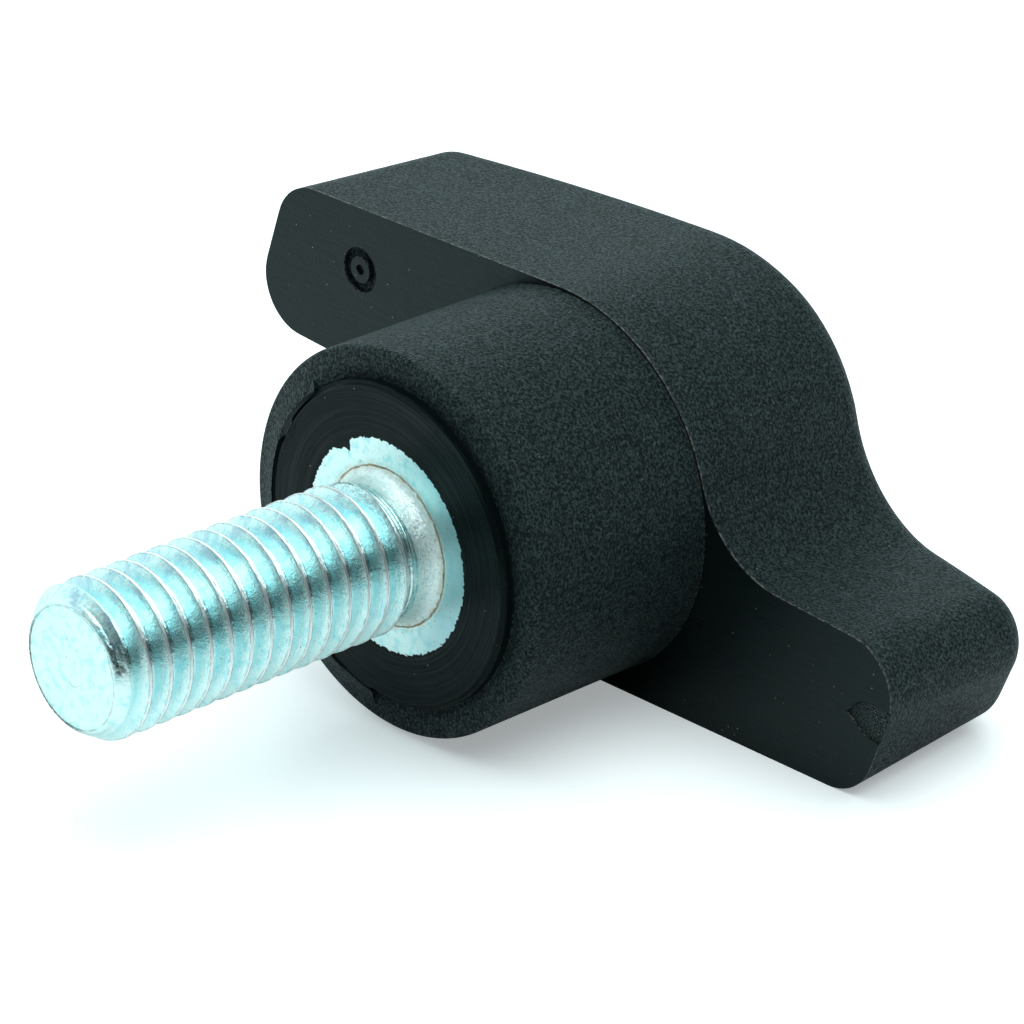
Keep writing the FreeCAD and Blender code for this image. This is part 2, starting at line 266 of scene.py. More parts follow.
# ------------------------------------------------------------------ zinc-plated steel
def make_zinc():
    k = Nodes("zinc_plated_steel")
    p, x, y, z, r, th, n, geo = part_coords(k)
    big = k.noise(p, 0.45, 3.0, 0.55)
    mid = k.noise(p, 1.8, 4.0, 0.6)
    fine = k.noise(p, 9.0, 3.0, 0.65)
    crisp = k.noise(p, 5.0, 4.0, 0.7)
    stretched = k.add("ShaderNodeCombineXYZ")
    k.put(stretched.inputs[0], k.math("MULTIPLY", r, 8.0))
    k.put(stretched.inputs[1], k.math("MULTIPLY", th, 1.2))
    k.put(stretched.inputs[2], k.math("MULTIPLY", y, 8.0))
    turn = k.noise(stretched.outputs[0], 1.0, 3.0, 0.6)
    d = k.math("MULTIPLY", y, -1.0)

    # helical coordinate: 0 on a thread crest, +-0.5 in the root, positive towards the tip
    ph = k.math("ADD", k.math("DIVIDE", k.math("SUBTRACT", d, 18.445), 1.25), k.math("DIVIDE", th, 6.2831853))
    ph = k.math("SUBTRACT", ph, k.math("ROUND", ph))
    on_thread = k.math("MULTIPLY", k.step(d, 1.6, 2.3), k.step(d, 19.30, 19.05))
    wob = k.math("MULTIPLY", k.math("SUBTRACT", crisp, 0.5), 0.035)
    q = k.math("ADD", ph, wob)
    crest = k.math("MULTIPLY", k.step(k.math("ABSOLUTE", k.math("SUBTRACT", q, 0.012)), 0.078, 0.045), on_thread)
    seam = k.math("MULTIPLY", k.step(k.math("ABSOLUTE", k.math("SUBTRACT", q, -0.062)), 0.030, 0.012), on_thread)
    seam_shade2 = k.math("MULTIPLY", k.step(k.math("ABSOLUTE", k.math("SUBTRACT", q, 0.078)), 0.018, 0.006), on_thread)
    root = k.math("MULTIPLY", k.step(k.math("ABSOLUTE", ph), 0.36, 0.5), on_thread)

    base = k.mix(big, rgb(0.66, 0.95, 0.93), rgb(0.82, 0.98, 0.95))
    base = k.mix(k.step(mid, 0.48, 0.66), base, rgb(0.50, 0.86, 0.88))
    # violet-blue passivation-film tint in soft patches, laid only on the flanks facing up: painted shade on the upper
    # flanks
    film_and_shade = k.math("MULTIPLY", k.step(k.noise(p, 0.8, 3.0, 0.6), 0.46, 0.66), k.step(n[2], 0.10, 0.65))
    base = k.mix(k.math("MULTIPLY", film_and_shade, 0.72), base, rgb(0.34, 0.50, 0.62))
    base = k.scale_color(base, k.math("ADD", 0.86, k.math("MULTIPLY", fine, 0.30)))
    # painted shade: flanks and roots coloured darker teal than the crests
    flank = k.math("MULTIPLY", k.step(k.math("ABSOLUTE", ph), 0.10, 0.34), on_thread)
    base = k.mix(k.math("MULTIPLY", flank, 0.55), base, rgb(0.44, 0.78, 0.82))
    # painted shade: thin dark line on the flank just behind each crest
    crest_side_shade = k.math("MULTIPLY", k.step(k.math("ABSOLUTE", k.math("ADD", q, 0.115)), 0.085, 0.02), on_thread)
    base = k.mix(k.math("MULTIPLY", crest_side_shade, 0.40), base, rgb(0.30, 0.46, 0.52))
    # painted highlight: thread crests coloured near white
    base = k.mix(k.math("MULTIPLY", crest, 0.90), base, rgb(0.97, 0.99, 0.98))
    broken = k.step(k.noise(p, 2.6, 3.0, 0.65), 0.36, 0.56)
    # painted shade: dark lines along the crest seams, broken up by noise
    base = k.mix(k.math("MULTIPLY", seam, k.math("ADD", 0.45, k.math("MULTIPLY", broken, 0.50))), base, rgb(0.075, 0.075, 0.072))
    base = k.mix(k.math("MULTIPLY", seam_shade2, k.math("MULTIPLY", broken, 0.45)), base, rgb(0.20, 0.20, 0.19))
    # painted shade: thread roots darkened blue-grey in patches
    base = k.mix(k.math("MULTIPLY", root, k.math("MULTIPLY", k.step(crisp, 0.5, 0.7), 0.35)), base, rgb(0.34, 0.46, 0.56))

    # run-out and flare: frosted, with a painted highlight whitening the flare, greyer, brown in the hollows
    frost_and_highlight = k.math("MULTIPLY", k.step(d, 1.25, 0.95), k.step(r, 4.25, 4.12))
    base = k.mix(k.math("MULTIPLY", frost_and_highlight, 0.60), base, rgb(0.97, 1.0, 0.97))
    wear = k.step(k.noise(p, 6.0, 3.0, 0.7), 0.52, 0.66)
    base = k.mix(k.math("MULTIPLY", k.math("MULTIPLY", wear, frost_and_highlight), 0.35), base, rgb(0.42, 0.38, 0.31))
    runout = k.math("MULTIPLY", k.step(d, 2.5, 2.1), k.step(d, 0.9, 1.2))
    base = k.mix(k.math("MULTIPLY", k.math("MULTIPLY", runout, k.step(crisp, 0.46, 0.62)), 0.5), base, rgb(0.30, 0.35, 0.37))

    # rust-brown passivation line where the flare meets the collar
    rr = k.math("ADD", r, k.math("MULTIPLY", k.math("SUBTRACT", mid, 0.5), 0.28))
    flat = k.step(d, 0.30, 0.12)
    line = k.math("MULTIPLY", k.step(k.math("ABSOLUTE", k.math("SUBTRACT", rr, 4.20)), 0.085, 0.020), flat)
    halo = k.math("MULTIPLY", k.step(k.math("ABSOLUTE", k.math("SUBTRACT", rr, 4.20)), 0.42, 0.05), flat)
    base = k.mix(k.math("MULTIPLY", halo, k.math("MULTIPLY", k.step(k.noise(p, 2.2, 3.0, 0.65), 0.38, 0.62), 0.45)), base, rgb(0.66, 0.58, 0.44))
    base = k.mix(k.math("MULTIPLY", line, k.math("ADD", 0.55, k.math("MULTIPLY", broken, 0.35))), base, rgb(0.34, 0.22, 0.11))
    # painted shade: the collar coloured bluer and darker on the side turned from the tent
    side = k.math("MULTIPLY", k.math("MULTIPLY", k.step(r, 4.25, 4.5), k.step(d, 0.06, 0.03)), k.step(k.math("ADD", x, k.math("MULTIPLY", k.math("SUBTRACT", big, 0.5), 5.0)), 1.0, 4.2))
    base = k.mix(k.math("MULTIPLY", side, 0.60), base, rgb(0.33, 0.60, 0.65))

    # dark pin marks in the plating, more of them on the collar and by the tip edge
    dd, _ = k.voronoi(p, 1.9)
    pit = k.math("MULTIPLY", k.step(dd, 0.085, 0.040), k.step(k.noise(p, 0.9, 1.0), 0.44, 0.54))
    d2, _ = k.voronoi(k.vmath("ADD", p, (3.1, 8.7, 1.9)), 3.4)
    pit2 = k.math("MULTIPLY", k.math("MULTIPLY", k.step(d2, 0.13, 0.07), k.step(d, 0.10, 0.02)), k.step(k.noise(p, 1.4, 2.0), 0.47, 0.60))
    pit = k.math("MAXIMUM", pit, pit2)
    base = k.mix(k.math("MULTIPLY", pit, 0.88), base, rgb(0.05, 0.06, 0.055))

    # tip: dark broken line round the end face, soot in the first turn
    tip_edge = k.math("MULTIPLY", k.step(k.math("ABSOLUTE", k.math("SUBTRACT", k.math("ADD", r, k.math("MULTIPLY", k.math("SUBTRACT", crisp, 0.5), 0.16)), 3.10)), 0.070, 0.020), k.step(d, 19.80, 19.93))
    low_left = k.step(k.math("ADD", k.math("MULTIPLY", x, -0.80), k.math("MULTIPLY", z, -0.60)), 0.2, 2.6)
    dark = k.math("MULTIPLY", tip_edge, k.math("ADD", k.math("MULTIPLY", broken, 0.40), k.math("MULTIPLY", low_left, 0.5)))
    base = k.mix(dark, base, rgb(0.06, 0.06, 0.05))
    band = k.math("MULTIPLY", k.math("MULTIPLY", k.step(k.math("ABSOLUTE", k.math("SUBTRACT", r, 3.20)), 0.16, 0.08), k.step(d, 19.70, 19.86)), low_left)
    base = k.mix(k.math("MULTIPLY", band, k.step(k.noise(p, 7.0, 2.0, 0.6), 0.62, 0.44)), base, rgb(0.07, 0.07, 0.06))
    first = k.math("MULTIPLY", k.step(d, 18.75, 18.95), k.step(d, 19.75, 19.45))
    spot_a = k.step(k.vmath("DISTANCE", p, (3.20, -19.20, 2.45)), 0.46, 0.20)
    spot_b = k.step(k.vmath("DISTANCE", p, (3.28, -19.72, 1.00)), 0.42, 0.16)
    spots = k.math("MULTIPLY", k.math("MAXIMUM", spot_a, spot_b), k.step(crisp, 0.36, 0.60))
    base = k.mix(k.math("MULTIPLY", spots, 0.8), base, rgb(0.07, 0.06, 0.05))
    face = k.math("MULTIPLY", k.step(d, 19.90, 19.94), k.step(r, 3.02, 2.9))
    haze = k.math("MULTIPLY", face, k.step(k.noise(p, 1.6, 3.0, 0.6), 0.52, 0.70))
    base = k.mix(k.math("MULTIPLY", haze, 0.30), base, rgb(0.86, 0.80, 0.78))
    dent = k.vmath("DISTANCE", p, (0.05, -19.96, -0.55))
    smile = k.math("MULTIPLY", k.math("MULTIPLY", k.step(k.math("ABSOLUTE", k.math("SUBTRACT", dent, 0.43)), 0.045, 0.018), face), k.step(z, -0.66, -0.82))
    base = k.mix(k.math("MULTIPLY", smile, 0.42), base, rgb(0.36, 0.32, 0.24))

    rough = k.math("ADD", 0.15, k.math("MULTIPLY", fine, 0.16))
    rough = k.math("ADD", rough, k.math("MULTIPLY", frost_and_highlight, 0.13))
    rough = k.math("ADD", rough, k.math("MULTIPLY", k.math("MAXIMUM", line, halo), 0.15))
    rough = k.math("ADD", rough, k.math("MULTIPLY", k.math("MULTIPLY", k.step(r, 4.25, 4.4), k.step(d, 0.06, 0.02)), 0.14))
    rough = k.fmix(crest, rough, 0.34)
    h = k.math("ADD", k.math("MULTIPLY", fine, 0.5), k.math("ADD", k.math("MULTIPLY", turn, 0.55), k.math("MULTIPLY", crisp, 0.9)))
    h = k.math("ADD", h, k.math("MULTIPLY", k.math("MULTIPLY", crisp, frost_and_highlight), 2.2))
    nrm = k.bump(h, 0.65, 0.000034)

    b = k.add("ShaderNodeBsdfPrincipled")
    k.put(b.inputs["Base Color"], base)
    b.inputs["Metallic"].default_value = 1.0
    k.put(b.inputs["Roughness"], rough)
    k.put(b.inputs["Normal"], nrm)
    out = k.add("ShaderNodeOutputMaterial")
    k.put(out.inputs[0], b.outputs[0])
    return k.owner


PLASTIC = make_plastic()
ZINC = make_zinc()

for name, mat in (("moulded_wing_knob", PLASTIC), ("threaded_stud_with_knurled_head", ZINC)):
    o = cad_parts[name]
    o.data.materials.clear()
    o.data.materials.append(mat)


# ------------------------------------------------------------------ helpers for modelled meshes
def hashed(n, seed):
    """Repeatable pseudo-random numbers in 0..1 for whole-number arrays."""
    v = np.sin(np.asarray(n, dtype=float) * 12.9898 + seed * 78.233) * 43758.5453
    return v - np.floor(v)


def wave(t, seed, octaves=5, base=1, fall=0.6):
    """Smooth periodic noise of an angle, about -1..1."""
    out = np.zeros_like(t)
    amp, tot = 1.0, 0.0
    for i in range(octaves):
        f = base * (i + 1) + int(hashed(i, seed) * 2)
        out += amp * np.sin(f * t + 6.2832 * hashed(i, seed + 3.7))
        tot += amp
        amp *= fall
    return out / tot


def lattice(x, y, seed):
    """Value noise on a unit grid, -1..1."""
    xi, yi = np.floor(x), np.floor(y)
    fx, fy = x - xi, y - yi
    fx, fy = fx * fx * (3 - 2 * fx), fy * fy * (3 - 2 * fy)

    def h(i, j):
        return hashed(i * 1.0 + j * 57.31, seed)

    a, b = h(xi, yi), h(xi + 1, yi)
    c, d = h(xi, yi + 1), h(xi + 1, yi + 1)
    return 2 * ((a * (1 - fx) + b * fx) * (1 - fy) + (c * (1 - fx) + d * fx) * fy) - 1


def ss(x, lo, hi):
    t = np.clip((x - lo) / (hi - lo), 0, 1)
    return t * t * (3 - 2 * t)


def build_mesh(name, verts, faces, material, smooth_deg=None):
    me = bpy.data.meshes.new(name)
    me.vertices.add(len(verts))
    me.vertices.foreach_set("co", np.asarray(verts, dtype=np.float32).ravel())
    tri = [f for f in faces]
    sizes = np.concatenate([np.full(len(f), f.shape[1], dtype=np.int32) for f in tri])
    flat = np.concatenate([f.ravel() for f in tri]).astype(np.int32)
    starts = np.concatenate([[0], np.cumsum(sizes)[:-1]]).astype(np.int32)
    me.loops.add(len(flat))
    me.loops.foreach_set("vertex_index", flat)
    me.polygons.add(len(sizes))
    me.polygons.foreach_set("loop_start", starts)
    me.polygons.foreach_set("loop_total", sizes)
    me.update(calc_edges=True)
    me.validate()
    me.shade_smooth()
    if smooth_deg is not None:
        me.set_sharp_from_angle(angle=math.radians(smooth_deg))
    me.materials.append(material)
    o = bpy.data.objects.new(name, me)
    bpy.context.scene.collection.objects.link(o)
    return o


# ------------------------------------------------------------------ stud
THREAD_R, ROOT_R, BLANK_R, PITCH, STUD_L = 4.0, 3.235, 3.60, 1.25, 20.0
CREST_AT = 18.445            # distance from the seating face of a crest on the +X side


def thread_profile(ph):
    """Radius over one pitch; ph runs -0.5..0.5 with the crest at 0."""
    a = np.abs(ph) * PITCH
    half = 0.078
    flank = THREAD_R - (a - half) * 1.70
    # rounded root
    root = ROOT_R + 0.0
    r = np.where(a < half, THREAD_R, flank)
    k = 0.16
    h = np.clip(0.5 + 0.5 * (r - root) / k, 0, 1)
    r = root * (1 - h) + r * h + k * h * (1 - h) * 0.55
    # crest: folded seam left by rolling and a small burr on the collar side
    seam = np.exp(-((ph * PITCH + 0.012) / 0.020) ** 2)
    burr = np.exp(-((ph * PITCH + 0.070) / 0.022) ** 2)
    return r, seam, burr


def stud_radius(th, d):
    """Outer radius of the stud at angle th (from +X towards +Z) and distance d from the seating face."""
    turn = th / (2 * np.pi)
    ph = (d - CREST_AT) / PITCH + turn * 1.0
    ph = ph - np.round(ph)
    r, seam, burr = thread_profile(ph)
    rough_edge = 0.5 + 0.5 * lattice(d * 3.0 + th * 6, th * 9.0, 5.0)
    r = r - 0.030 * seam * (0.4 + 0.6 * rough_edge) + 0.012 * burr * rough_edge
    # crest height wanders a little
    r = np.where(r > 3.9, r + 0.012 * wave(th + d * 0.9, 2.0, 6, 2), r)
    # shallow dents and rolling waviness on the flanks
    r = r + 0.006 * lattice(th * 14.0, d * 7.0, 11.0) + 0.004 * lattice(th * 34.0, d * 17.0, 12.0)
    # run-out: thread form dies away into the blank size
    up = ss(d, 1.30, 2.35)
    down = ss(d, 1.55, 2.80)
    r = np.where(r > BLANK_R, BLANK_R + (r - BLANK_R) * up, BLANK_R + (r - BLANK_R) * down)
    # fine ridges pressed by the run-out of the dies
    for pos, amp, wid, sd in ((2.02, 0.055, 0.045, 1.0), (1.80, 0.065, 0.050, 2.0), (1.56, 0.060, 0.055, 3.0), (1.36, 0.030, 0.05, 4.0)):
        wob = 0.05 * wave(th, sd, 3, 1)
        r = r + amp * np.exp(-((d - pos - wob) / wid) ** 2) * (0.75 + 0.25 * wave(th, sd + 9, 4, 2))
    # concave flare down to the collar
    t = np.clip(d / 1.15, 0, 1)
    flare = BLANK_R - 0.02 + 0.58 * (1 - np.sqrt(np.clip(1 - (1 - t) ** 2.3, 0, 1)))
    flare = flare + 0.012 * lattice(th * 20.0, d * 9.0, 31.0) * (1 - ss(d, 0.9, 1.2))
    r = np.where(d < 1.25, np.maximum(flare, BLANK_R - 0.02 + (r - BLANK_R) * ss(d, 0.8, 1.25)), r)
    # rolled-over tip chamfer
    e = STUD_L - d
    lim = 3.14 + 0.30 * np.sqrt(np.clip(e / 0.30, 0, 1)) + 0.0 * e
    lim = np.where(e > 0.06, np.maximum(lim, 3.14 + np.minimum(e, 1.2) * 1.06), lim)
    lim = lim + 0.014 * wave(th, 21.0, 7, 3) + 0.010 * lattice(th * 18.0, e * 10.0, 22.0)
    k = 0.10
    h = np.clip(0.5 + 0.5 * (r - lim) / k, 0, 1)
    r2 = r * (1 - h) + lim * h - k * h * (1 - h)
    r = np.where(e < 1.5, r2, r)
    return r


def make_stud():
    nt = 384
    th = np.arange(nt) / nt * 2 * np.pi
    # sheared rows that follow the helix, so crest edges stay crisp
    offs = np.array([-0.46, -0.40, -0.34, -0.28, -0.22, -0.17, -0.125, -0.095, -0.074, -0.060, -0.050, -0.036, -0.022,
                     -0.010, 0.002, 0.016, 0.034, 0.052, 0.062, 0.078, 0.10, 0.135, 0.18, 0.235, 0.29, 0.35, 0.41])
    m = len(offs)
    d_lo, d_hi = 2.90, 18.55
    verts, faces = [], []
    total = 0

    def surface(dist):
        ang = np.broadcast_to(th, dist.shape)
        r = stud_radius(ang, dist)
        return np.stack([r * np.cos(ang), -dist, r * np.sin(ang)], axis=-1).reshape(-1, 3)

    k0 = int(math.floor((d_lo - CREST_AT) / PITCH)) - 1
    k1 = int(math.ceil((d_hi - CREST_AT) / PITCH)) + 3
    s = np.concatenate([CREST_AT + (kk + offs) * PITCH for kk in range(k0, k1)])
    # going once round, a row moves along by one pitch
    dist = np.clip(s[:, None] - PITCH * (th[None, :] / (2 * np.pi)), d_lo, d_hi)
    n = len(s)
    verts.append(surface(dist))
    idx = np.arange(n * nt).reshape(n, nt)
    faces.append(np.stack([idx[:-1, :-1], idx[:-1, 1:], idx[1:, 1:], idx[1:, :-1]], axis=-1).reshape(-1, 4))
    j = np.arange(m, n - 1)
    faces.append(np.stack([idx[j, nt - 1], idx[j - m, 0], idx[j - m + 1, 0], idx[j + 1, nt - 1]], axis=-1))
    total += n * nt

    def rings(ds, points=None, flip=False):
        nonlocal total
        ds = np.asarray(ds, dtype=float)
        v = surface(np.repeat(ds[:, None], nt, axis=1)) if points is None else points(ds)
        verts.append(v)
        ids = np.arange(len(ds) * nt).reshape(len(ds), nt) + total
        nx = np.roll(ids, -1, axis=1)
        q = np.stack([ids[:-1], nx[:-1], nx[1:], ids[1:]], axis=-1).reshape(-1, 4)
        faces.append(q[:, ::-1] if flip else q)
        total += len(ds) * nt
        return ids

    rings(np.concatenate([np.arange(0.0, 1.2, 0.03), np.arange(1.2, d_lo - 0.001, 0.022), [d_lo]]))
    rings(np.concatenate([np.arange(d_hi, 19.94, 0.022), [19.955, 19.975, 20.0]]))

    # end face: slightly hollow, with a ring burr and a small dent
    r_tip = stud_radius(th, np.full(nt, 20.0))

    def tip_face(ts):
        r = r_tip[None, :] * (1 - ts[:, None])
        x, z = r * np.cos(th), r * np.sin(th)
        edge = r_tip[None, :] - r
        hollow = 0.035 * ss(edge, 0.05, 0.30) + 0.012 * ss(edge, 0.3, 2.0)
        dent_r = np.hypot(x - 0.05, z + 0.55)
        dent_a = np.arctan2(z + 0.55, x - 0.05)
        dent = 0.03 * np.exp(-((dent_r - 0.42) / 0.05) ** 2) * ss(-np.sin(dent_a), 0.35, 0.75)
        rough = 0.006 * lattice(x * 3.0, z * 3.0, 41.0) + 0.004 * lattice(x * 8.0, z * 8.0, 42.0)
        nib = 0.012 * np.exp(-((edge - 0.06) / 0.05) ** 2) * lattice(th[None, :] * 22.0 + 0 * r, r, 43.0)
        y = -20.0 + hollow + dent + (rough + nib) * ss(edge, 0.0, 0.05)
        return np.stack([x, y, z], axis=-1).reshape(-1, 3)

    ids = rings(np.concatenate([np.arange(0, 0.14, 0.008), np.arange(0.14, 0.98, 0.022)]), tip_face)
    verts.append(np.array([[0.0, -20.0 + 0.047, 0.0]]))
    centre = total
    total += 1
    faces.append(np.stack([ids[-1], np.roll(ids[-1], -1), np.full(nt, centre)], axis=-1))

    # collar face, then the side and the back of the head inside the moulding
    r_foot = stud_radius(th, np.full(nt, 0.0))

    def collar(ts):
        r = r_foot[None, :] * (1 - ts[:, None]) + 5.80 * ts[:, None]
        x, z = r * np.cos(th), r * np.sin(th)
        groove = 0.030 * np.exp(-((r - 4.20 - 0.03 * wave(th, 51.0, 4, 1)[None, :]) / 0.045) ** 2)
        lump = 0.010 * lattice(x * 1.4, z * 1.4, 52.0) + 0.005 * lattice(x * 4.0, z * 4.0, 53.0) + 0.003 * lattice(x * 11.0, z * 11.0, 54.0)
        y = 0.004 + groove + lump * ss(r, 4.2, 4.4) * 0.8
        y = np.where(ts[:, None] <= 0, 0.0, np.where(ts[:, None] >= 1, 0.02, y))
        return np.stack([x, y, z], axis=-1).reshape(-1, 3)

    ids = rings(np.concatenate([np.arange(0, 0.12, 0.01), np.arange(0.12, 1.0, 0.025), [1.0]]), collar, True)

    def head(ts):
        # side of the head with the locking groove, then the back face
        prof = np.array([[5.80, 0.02], [5.62, 0.25], [5.62, 3.6], [4.75, 3.85], [4.75, 5.15], [5.62, 5.4], [5.62, 8.5], [5.10, 8.95]])
        r, y = prof[:, 0][:, None], prof[:, 1][:, None]
        tooth = 1.0 - 0.012 * (0.5 + 0.5 * np.cos(th * 60))[None, :] * (np.arange(8) > 0)[:, None]
        return np.stack([r * tooth * np.cos(th), y + 0 * th[None, :], r * tooth * np.sin(th)], axis=-1).reshape(-1, 3)

    ids = rings(np.arange(8), head, True)
    verts.append(np.array([[0.0, 8.95, 0.0]]))
    faces.append(np.stack([np.roll(ids[-1], -1), ids[-1], np.full(nt, total)], axis=-1))
    total += 1

    v = np.concatenate(verts)
    # weld the coincident rings and drop collapsed faces
    key = np.round(v * 20000).astype(np.int64)
    _, first, inv = np.unique(key, axis=0, return_index=True, return_inverse=True)
    inv = inv.ravel()
    v = v[first]
    out = []
    for f in faces:
        f = inv[f]
        if f.shape[1] == 4:
            for tri in (f[:, [0, 1, 2]], f[:, [0, 2, 3]]):
                ok = (tri[:, 0] != tri[:, 1]) & (tri[:, 1] != tri[:, 2]) & (tri[:, 2] != tri[:, 0])
                out.append(tri[ok])
        else:
            ok = (f[:, 0] != f[:, 1]) & (f[:, 1] != f[:, 2]) & (f[:, 2] != f[:, 0])
            out.append(f[ok])
    return build_mesh("stud_rolled", v * MM, [np.concatenate(out)], ZINC, 50)


stud = make_stud()
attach(stud, "root")
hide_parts("threaded_stud_with_knurled_head")


# ------------------------------------------------------------------ hub front: rim, lip, pad and ragged parting edge
def pulse(deg, lo, hi, soft):
    """1 between two angles in degrees, with soft ends; deg runs 0..360."""
    return ss(deg, lo - soft, lo + soft) * (1 - ss(deg, hi - soft, hi + soft))


def make_hub_front():
    nt = 768
    th = np.arange(nt) / nt * 2 * np.pi
    deg = np.degrees(th)
    lip = pulse(deg, 124.0, 258.0, 16.0)
    # pad edge radius with the jog where the lip sets in
    edge = 8.28 + 0.19 * pulse(deg, 156.0, 262.0, 2.6) - 0.16 * pulse(deg, 146.5, 154.0, 1.3) + 0.012 * wave(th, 61.0, 8, 5)
    one = np.ones(nt)
    # (radius, height) without the lip and with it; the lip columns are relative to the pad edge
    table = [
        (10.215, 1.60, 10.215, 1.60), (10.215, 1.00, 10.215, 1.00), (10.215, 0.74, 10.215, 0.74), (10.205, 0.66, 10.205, 0.66),
        (10.175, 0.59, 10.175, 0.59), (10.125, 0.535, 10.125, 0.535), (10.05, 0.505, 10.05, 0.50), (9.95, 0.50, 9.95, 0.475),
        (9.75, 0.50, 9.75, 0.415), (9.50, 0.50, 9.50, 0.335), (9.25, 0.502, 9.25, 0.245), (9.05, 0.512, 9.05, 0.165), (8.90, 0.535, 8.90, 0.095),
        (8.78, 0.570, 8.78, 0.040), (8.68, 0.600, 8.68, 0.005),
    ]
    near = [  # lip side given as distance outside the pad edge
        (8.61, 0.615, 0.145, -0.015), (8.565, 0.610, 0.105, -0.028), (8.545, 0.570, 0.075, -0.022), (8.542, 0.420, 0.055, 0.030),
        (8.538, 0.290, 0.040, 0.100), (8.530, 0.215, 0.015, 0.150), (8.490, 0.190, -0.020, 0.155), (8.400, 0.205, -0.060, 0.120),
        (8.350, 0.190, -0.110, 0.065),
    ]
    rows_r, rows_y = [], []
    for r0, y0, r1, y1 in table:
        rows_r.append(r0 * (1 - lip) + r1 * lip)
        rows_y.append(y0 * (1 - lip) + y1 * lip)
    for r0, y0, dr, y1 in near:
        rows_r.append(r0 * (1 - lip) + (edge + dr) * lip)
        rows_y.append(y0 * (1 - lip) + y1 * lip)
    flash = 0.5 + 0.5 * lattice(th * 90.0, th * 0, 66.0)
    # torn flash bead standing on the second step
    k = len(table) + 5
    rows_y[k] = rows_y[k] - (1 - lip) * 0.055 * flash
    rows_y[k + 1] = rows_y[k + 1] + (1 - lip) * 0.02 * flash
    for dr, y in ((0.020, 0.085), (0.006, 0.020), (-0.030, -0.010), (-0.075, -0.012)):
        rows_r.append(edge + dr * (1 - lip) - 0.15 * lip + dr * 0.3 * lip)
        rows_y.append(y * one - (0.012 * flash if y < 0 and dr > -0.05 else 0))
    # nibbled opening round the knurled head
    m = 60
    tooth_at = th / (2 * np.pi) * m
    cell = np.floor(tooth_at)
    f = tooth_at - cell
    here, there = hashed(cell % m, 71.0), hashed((cell + 1) % m, 71.0)
    height = here * (1 - ss(f, 0.35, 0.65)) + there * ss(f, 0.35, 0.65)
    nib = np.clip(1.25 * np.abs(np.cos(np.pi * (tooth_at + 0.25 * lattice(th * 9.5, th * 0, 72.0)))) , 0, 1)
    hole = 5.71 - (0.035 + 0.12 * height * hashed(cell % m + 3, 73.0)) * nib + 0.035 * wave(th, 74.0, 9, 3) + 0.02 * lattice(th * 60.0, th * 0, 75.0)
    # two bites where plastic has run over the head
    hole = hole - 0.62 * np.exp(-((deg - 121.5) / 2.6) ** 2) - 0.34 * np.exp(-((deg - 127.5) / 3.4) ** 2) - 0.12 * np.exp(-((deg - 113.0) / 3.0) ** 2)
    hole = np.minimum(hole, 5.765)
    n_pad = 46
    start_r = rows_r[-1]
    for i in range(1, n_pad + 1):
        t = i / n_pad
        r = start_r * (1 - t) + (hole + 0.03) * t
        y = -0.012 + 0.0035 * lattice(r * 13.0, th * 1.5, 81.0) + 0.003 * lattice(r * np.cos(th) * 1.2, r * np.sin(th) * 1.2, 82.0)
        rows_r.append(r)
        rows_y.append(np.minimum(y, -0.006))
    rows_r.append(hole)
    rows_y.append(-0.004 * one)
    rows_r.append(hole)
    rows_y.append(0.22 * one)
    # hidden back of the skin, inside the moulding
    for r, y in ((9.0, 0.95), (9.9, 1.6), (10.0, 11.8)):
        rows_r.append(r * one)
        rows_y.append(y * one)
    # outer wall again up to the parting plane, with a ragged edge
    rag = 0.5 + 0.5 * lattice(th * 55.0, th * 0, 91.0) * 0.6 + 0.2 * lattice(th * 140.0, th * 0, 92.0)
    for r, y in ((10.205, 12.125), (10.255, 12.10), (10.235, 12.02)):
        rows_r.append(r * one + (0.045 * (rag - 0.3) if r > 10.25 else 0))
        rows_y.append(y * one - 0.05 * rag * (1 if r > 10.25 else 0.3))
    for y in (11.90, 11.70, 10.0, 8.0, 6.0, 4.0, 2.4):
        rows_r.append(10.215 * one)
        rows_y.append(y * one)
    R, Y = np.array(rows_r), np.array(rows_y)
    n = len(R)
    v = np.stack([R * np.cos(th), Y, R * np.sin(th)], axis=-1).reshape(-1, 3)
    idx = np.arange(n * nt).reshape(n, nt)
    i2 = np.vstack([idx, idx[:1]])
    nx = np.roll(i2, -1, axis=1)
    # rows run towards -y on the outside: quads wound so that they face outwards
    q = np.stack([i2[:-1], nx[:-1], nx[1:], i2[1:]], axis=-1).reshape(-1, 4)
    return build_mesh("hub_front", v * MM, [q], PLASTIC, 42)


hub_front = make_hub_front()
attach(hub_front, "root")


# ------------------------------------------------------------------ stage
FLOOR_LIFT = 0.36      # over-exposed studio sweep: a little light added where the lens sees the floor


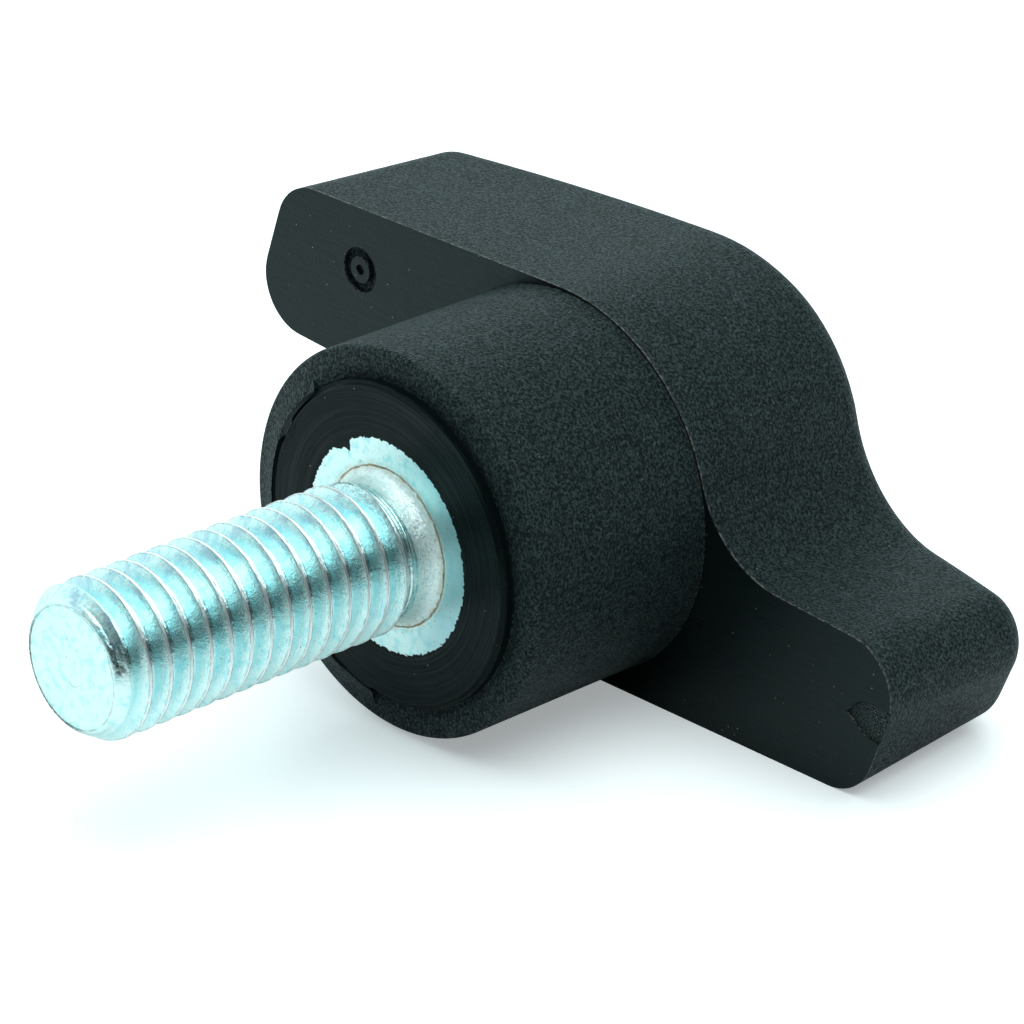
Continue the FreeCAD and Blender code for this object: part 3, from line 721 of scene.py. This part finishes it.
def make_floor():
    k = Nodes("pale_floor")
    tc = k.add("ShaderNodeTexCoord")
    f = k.noise(tc.outputs["Object"], 60.0, 2.0, 0.5)
    base = k.mix(f, rgb(0.86, 0.87, 0.875), rgb(0.885, 0.895, 0.90))
    b = k.add("ShaderNodeBsdfPrincipled")
    k.put(b.inputs["Base Color"], base)
    b.inputs["Roughness"].default_value = 0.28
    b.inputs["IOR"].default_value = 1.46
    b.inputs["Specular IOR Level"].default_value = 0.35
    lp = k.add("ShaderNodeLightPath")
    em = k.add("ShaderNodeEmission")
    em.inputs[0].default_value = rgb(0.93, 0.985, 1.0)
    k.put(em.inputs[1], k.math("MULTIPLY", lp.outputs["Is Camera Ray"], FLOOR_LIFT))
    both = k.add("ShaderNodeAddShader")
    k.put(both.inputs[0], b.outputs[0])
    k.put(both.inputs[1], em.outputs[0])
    out = k.add("ShaderNodeOutputMaterial")
    k.put(out.inputs[0], both.outputs[0])
    half = 0.9
    me = bpy.data.meshes.new("floor")
    me.from_pydata([(-half, -half, FLOOR_Z), (half, -half, FLOOR_Z), (half, half, FLOOR_Z), (-half, half, FLOOR_Z)], [], [(0, 1, 2, 3)])
    o = bpy.data.objects.new("floor", me)
    bpy.context.scene.collection.objects.link(o)
    me.materials.append(k.owner)
    return o


make_floor()


def make_world():
    """Light tent: soft and bright from above and from the left and back, open and dark on the right."""
    k = Nodes("studio", world=True)
    lp = k.add("ShaderNodeLightPath")
    tc = k.add("ShaderNodeTexCoord")
    s = k.add("ShaderNodeSeparateXYZ")
    k.put(s.inputs[0], tc.outputs["Generated"])
    dx, dy, dz = s.outputs
    side = k.math("ADD", k.math("MULTIPLY", dx, 0.85), k.math("MULTIPLY", dz, -0.28))
    tent = k.step(side, 0.42, -0.22)
    front = k.step(dy, -0.25, -0.95)
    level = k.fmix(tent, 0.02, 0.80)
    level = k.math("ADD", level, k.math("MULTIPLY", k.step(side, -0.25, -0.70), 0.50))
    level = k.math("MULTIPLY", level, k.fmix(front, 1.0, 0.55))
    tilt = k.math("ADD", k.math("MULTIPLY", dx, 0.26), k.math("ADD", k.math("MULTIPLY", dy, 0.10), k.math("MULTIPLY", dz, 0.96)))
    roof = k.step(tilt, 0.76, 0.94)
    level = k.fmix(roof, level, 3.1)
    col = k.mix(roof, rgb(0.80, 0.975, 1.0), rgb(0.88, 0.99, 1.0))
    amb = k.add("ShaderNodeBackground")
    k.put(amb.inputs[0], col)
    k.put(amb.inputs[1], level)
    cam = k.add("ShaderNodeBackground")
    cam.inputs[0].default_value = (1, 1, 1, 1)
    cam.inputs[1].default_value = 1.3
    m = k.add("ShaderNodeMixShader")
    k.put(m.inputs[0], lp.outputs["Is Camera Ray"])
    k.put(m.inputs[1], amb.outputs[0])
    k.put(m.inputs[2], cam.outputs[0])
    out = k.add("ShaderNodeOutputWorld")
    k.put(out.inputs[0], m.outputs[0])
    bpy.context.scene.world = k.owner


make_world()

# ------------------------------------------------------------------ camera
cam_data = bpy.data.cameras.new("camera")
cam_data.sensor_width = 36.0
cam_data.sensor_fit = "HORIZONTAL"
cam_data.lens = 181.5
cam_data.clip_start = 0.01
cam_data.clip_end = 10.0
cam = bpy.data.objects.new("camera", cam_data)
right = Vector((0.6895241, 0.72424611, 0.00490774))
down = Vector((0.30285898, -0.28217069, -0.91030552))
fwd = Vector((-0.65790041, 0.62916395, -0.41390793))
rot = Matrix((right, -down, -fwd)).transposed()
cam.matrix_world = Matrix.Translation(Vector((171.77879, -155.66530, 107.27351)) * MM) @ rot.to_4x4()
bpy.context.scene.collection.objects.link(cam)
bpy.context.scene.camera = cam

vs = bpy.context.scene.view_settings
vs.view_transform = "Standard"
vs.look = "None"
vs.exposure = 0.0
vs.gamma = 1.0

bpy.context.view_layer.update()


def plain(b):
    return [[float(v) for v in corner] for corner in b]
